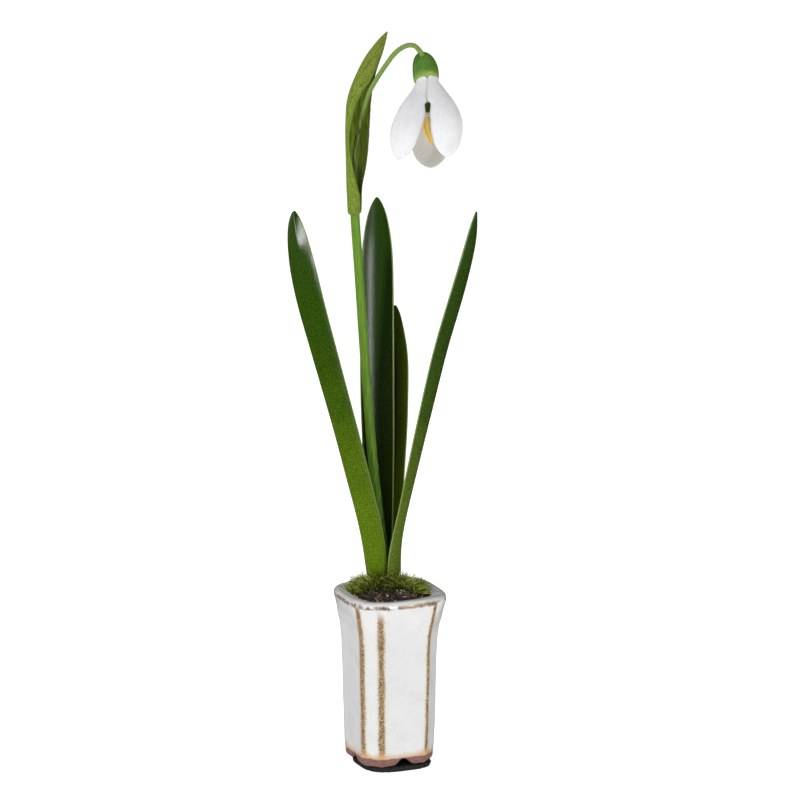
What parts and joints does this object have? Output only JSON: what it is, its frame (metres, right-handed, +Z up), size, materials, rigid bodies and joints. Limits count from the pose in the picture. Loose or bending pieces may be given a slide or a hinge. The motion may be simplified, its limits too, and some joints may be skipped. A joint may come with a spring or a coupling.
{
  "type": "potted snowdrop plant",
  "caption": "Artificial snowdrop with strap leaves and a nodding white flower, standing in a small octagonal glazed pot.",
  "frame": {"origin": "middle of the underside of the pad under the pot", "axes": "+Z up; the pot's sides face along X and Y; the plant's broad view looks from the front left, 23 degrees round from -Y"},
  "size_m": [0.0619, 0.047, 0.2624],
  "materials": {
    "glaze": "semi-gloss off-white glaze, broken to speckled tan on the edges, bare brown clay at the foot",
    "pad": "matt black",
    "foam": "dull, fine-pored",
    "soil": "rough dark crumbs with tan and cream chips",
    "moss": "fine matted fibres, bright and dark green",
    "leaf": "glossy, with fine lengthwise mottling",
    "stem": "satin light green",
    "spathe": "matt woven cloth, streaked olive and brown",
    "ovary": "satin, yellower at its lower rim",
    "petal": "satin-white coated cloth with a fine grain",
    "inner_petal": "matt white cloth with a green mark",
    "stamen": "matt orange-yellow"
  },
  "bodies": {
    "root": {"ceramic_pot": "glaze", "base_pad": "pad", "planting_block": "foam", "soil": "soil", "flower_stem": "stem", "inner_petal_front": "inner_petal", "inner_petal_left": "inner_petal", "inner_petal_right": "inner_petal", "leaf_centre": "leaf", "leaf_left": "leaf", "leaf_right": "leaf", "leaf_short": "leaf", "moss_back": "moss", "moss_front": "moss", "moss_left": "moss", "moss_right": "moss", "outer_petal_back": "petal", "outer_petal_left": "petal", "outer_petal_right": "petal", "ovary": "ovary", "pedicel": "stem", "spathe": "spathe", "stamen_1": "stamen", "stamen_2": "stamen", "stamen_3": "stamen", "stamen_4": "stamen", "stamen_5": "stamen", "stamen_6": "stamen", "style": "inner_petal"}
  },
  "joints": []
}
